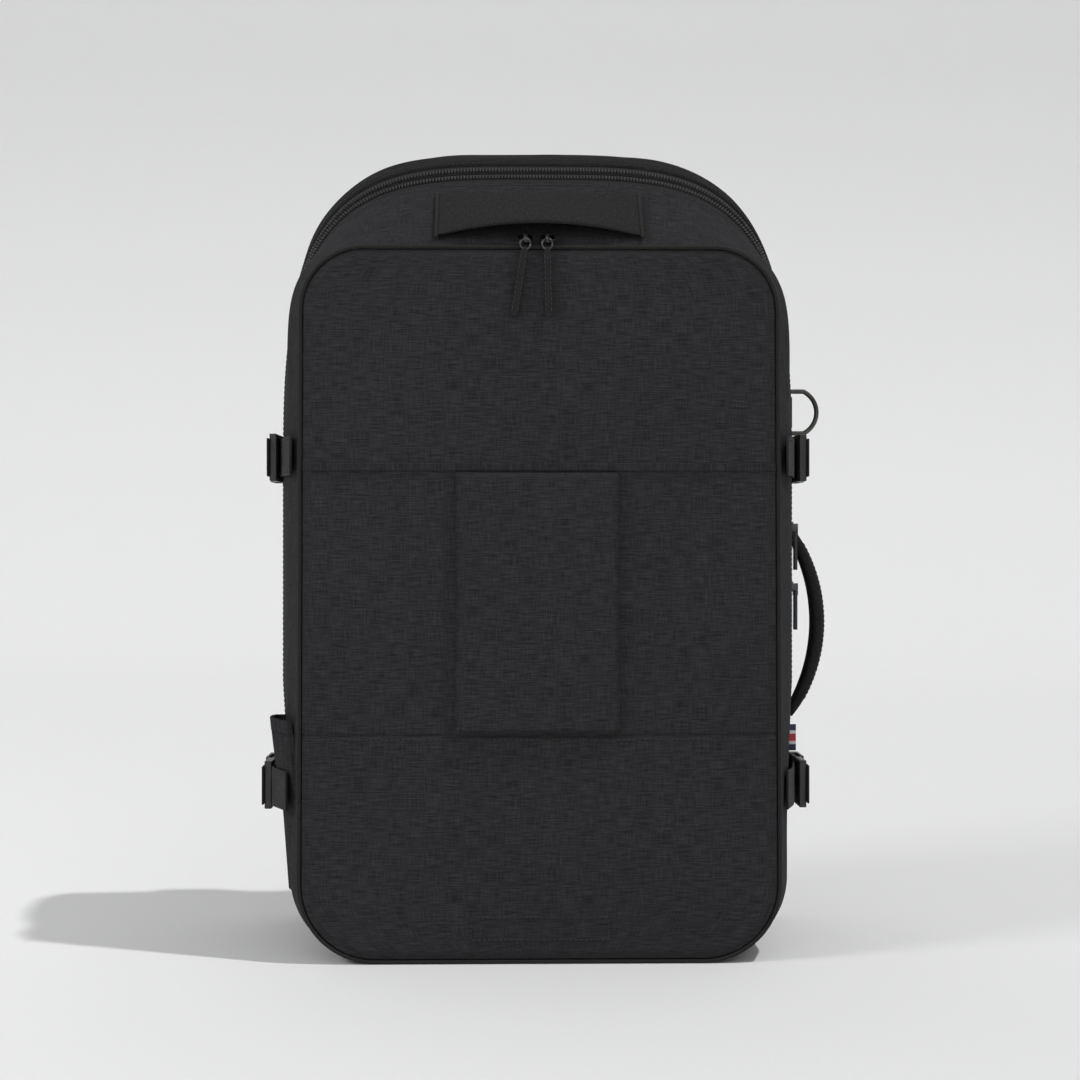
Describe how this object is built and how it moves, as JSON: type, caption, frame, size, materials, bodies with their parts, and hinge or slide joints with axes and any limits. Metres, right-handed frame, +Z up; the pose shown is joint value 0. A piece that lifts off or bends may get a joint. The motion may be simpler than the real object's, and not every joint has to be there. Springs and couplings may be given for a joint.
{
  "type": "travel backpack",
  "caption": "Upright clamshell cabin travel backpack with a front organiser flap, padded back, shoulder straps, grab handles and compression straps.",
  "frame": {"origin": "on the floor under the bag, at the middle of its width and 105 mm behind the front-most plane", "axes": "+Z up the height of the bag, the front panel faces -Y, +X to the right as seen from the front"},
  "size_m": [0.3791, 0.2026, 0.542],
  "materials": {
    "melange_fabric": "heather woven polyester, matt",
    "binding": "dark woven binding, matt",
    "zip": "black coil zip tape",
    "lining": "grey lining cloth over foam",
    "webbing": "black ribbed webbing",
    "buckle_plastic": "moulded, slightly olive grey",
    "pull_plastic": "moulded black",
    "zip_metal": "gunmetal, glossy",
    "ring_metal": "olive grey plated wire",
    "sheet_plastic": "natural plastic sheet",
    "mesh_padding": "black spacer mesh over foam",
    "woven_tab": "woven stripes in navy, white and red"
  },
  "bodies": {
    "bag_back": {"rear_shell": "melange_fabric", "main_zip_rear": "zip", "side_handle_ends": "binding", "d_ring_loop": "webbing", "rear_webbing": "webbing", "side_tab": "woven_tab", "frame_sheet": "sheet_plastic", "laptop_divider": "lining", "back_pad_right": "mesh_padding", "back_pad_left": "mesh_padding", "lumbar_pad": "mesh_padding", "strap_yoke": "mesh_padding", "strap_anchor_right": "binding", "strap_anchor_left": "binding", "buckle_female_upper_right": "buckle_plastic", "buckle_female_upper_left": "buckle_plastic", "buckle_female_lower_right": "buckle_plastic", "buckle_female_lower_left": "buckle_plastic"},
    "lid": {"lid_gusset": "melange_fabric", "main_zip_front": "zip", "front_piping": "binding", "lower_panel": "melange_fabric", "hem_strip": "melange_fabric", "front_zip_lid": "zip", "centre_pocket": "melange_fabric", "label_patch": "melange_fabric", "organiser_wall": "lining", "top_handle_ends": "binding", "front_webbing": "webbing", "bottle_pocket": "melange_fabric", "bottle_pocket_hem": "binding"},
    "front_flap": {"front_flap_panel": "melange_fabric", "front_zip_flap": "zip"},
    "top_handle": {"top_handle": "melange_fabric"},
    "side_handle": {"side_handle": "melange_fabric"},
    "d_ring": {"d_ring": "ring_metal"},
    "male_upper_right": {"buckle_male_upper_right": "buckle_plastic", "strap_tail_upper_right": "webbing"},
    "male_upper_left": {"buckle_male_upper_left": "buckle_plastic", "strap_tail_upper_left": "webbing"},
    "male_lower_right": {"buckle_male_lower_right": "buckle_plastic", "strap_tail_lower_right": "webbing"},
    "male_lower_left": {"buckle_male_lower_left": "buckle_plastic", "strap_tail_lower_left": "webbing"},
    "main_slider_upper": {"main_slider_upper": "zip_metal"},
    "main_pull_upper": {"main_pull_upper": "pull_plastic"},
    "main_slider_lower": {"main_slider_lower": "zip_metal"},
    "main_pull_lower": {"main_pull_lower": "pull_plastic"},
    "front_slider_left": {"front_slider_left": "zip_metal"},
    "front_pull_left": {"front_ring_left": "zip_metal", "front_pull_left": "melange_fabric"},
    "shoulder_strap_left": {"shoulder_pad_left": "mesh_padding", "ladder_lock_left": "buckle_plastic", "lower_webbing_left": "webbing"},
    "front_slider_right": {"front_slider_right": "zip_metal"},
    "front_pull_right": {"front_ring_right": "zip_metal", "front_pull_right": "melange_fabric"},
    "shoulder_strap_right": {"shoulder_pad_right": "mesh_padding", "ladder_lock_right": "buckle_plastic", "lower_webbing_right": "webbing"}
  },
  "joints": [
    {"name": "lid_open", "type": "hinge", "parent": "bag_back", "child": "lid", "pos_m": [0, -0.03, 0], "axis": [1, 0, 0], "range_deg": [0, 170]},
    {"name": "front_flap_open", "type": "hinge", "parent": "lid", "child": "front_flap", "pos_m": [0, -0.09624, 0.3173], "axis": [1, 0, 0], "range_deg": [0, 120]},
    {"name": "top_handle_lift", "type": "hinge", "parent": "lid", "child": "top_handle", "pos_m": [0, -0.04946, 0.49565], "axis": [-1, 0, 0], "range_deg": [0, 45]},
    {"name": "side_handle_swing", "type": "hinge", "parent": "bag_back", "child": "side_handle", "pos_m": [0.1725, 0.007, 0.212], "axis": [0, 0, 1], "range_deg": [-15, 15]},
    {"name": "d_ring_swing", "type": "hinge", "parent": "bag_back", "child": "d_ring", "pos_m": [0.1726, 0.007, 0.3558], "axis": [0, 0, 1], "range_deg": [-70, 70]},
    {"name": "unclip_upper_right", "type": "slide", "parent": "lid", "child": "male_upper_right", "axis": [0, -1, 0], "range_m": [0, 0.022]},
    {"name": "unclip_upper_left", "type": "slide", "parent": "lid", "child": "male_upper_left", "axis": [0, -1, 0], "range_m": [0, 0.022]},
    {"name": "unclip_lower_right", "type": "slide", "parent": "lid", "child": "male_lower_right", "axis": [0, -1, 0], "range_m": [0, 0.022]},
    {"name": "unclip_lower_left", "type": "slide", "parent": "lid", "child": "male_lower_left", "axis": [0, -1, 0], "range_m": [0, 0.022]},
    {"name": "main_slider_upper_travel", "type": "slide", "parent": "bag_back", "child": "main_slider_upper", "axis": [0, 0, 1], "range_m": [0, 0.02]},
    {"name": "main_slider_lower_travel", "type": "slide", "parent": "bag_back", "child": "main_slider_lower", "axis": [0, 0, 1], "range_m": [-0.078, 0]},
    {"name": "main_pull_upper_swing", "type": "hinge", "parent": "main_slider_upper", "child": "main_pull_upper", "pos_m": [0.1726, -0.03, 0.273], "axis": [0, -1, 0], "range_deg": [0, 120]},
    {"name": "main_pull_lower_swing", "type": "hinge", "parent": "main_slider_lower", "child": "main_pull_lower", "pos_m": [0.1726, -0.03, 0.233], "axis": [0, -1, 0], "range_deg": [0, 120]},
    {"name": "front_slider_left_travel", "type": "slide", "parent": "front_flap", "child": "front_slider_left", "axis": [1, 0, 0], "range_m": [-0.095, 0]},
    {"name": "front_slider_right_travel", "type": "slide", "parent": "front_flap", "child": "front_slider_right", "axis": [1, 0, 0], "range_m": [0, 0.095]},
    {"name": "front_pull_left_swing", "type": "hinge", "parent": "front_slider_left", "child": "front_pull_left", "pos_m": [-0.009, -0.0922, 0.46014], "axis": [-1, 0, 0], "range_deg": [0, 70]},
    {"name": "front_pull_right_swing", "type": "hinge", "parent": "front_slider_right", "child": "front_pull_right", "pos_m": [0.005, -0.0922, 0.46014], "axis": [-1, 0, 0], "range_deg": [0, 70]},
    {"name": "shoulder_strap_right_swing", "type": "hinge", "parent": "bag_back", "child": "shoulder_strap_right", "pos_m": [0, 0.0855, 0.486], "axis": [1, 0, 0], "range_deg": [0, 35]},
    {"name": "shoulder_strap_left_swing", "type": "hinge", "parent": "bag_back", "child": "shoulder_strap_left", "pos_m": [0, 0.0855, 0.486], "axis": [1, 0, 0], "range_deg": [0, 35]}
  ]
}
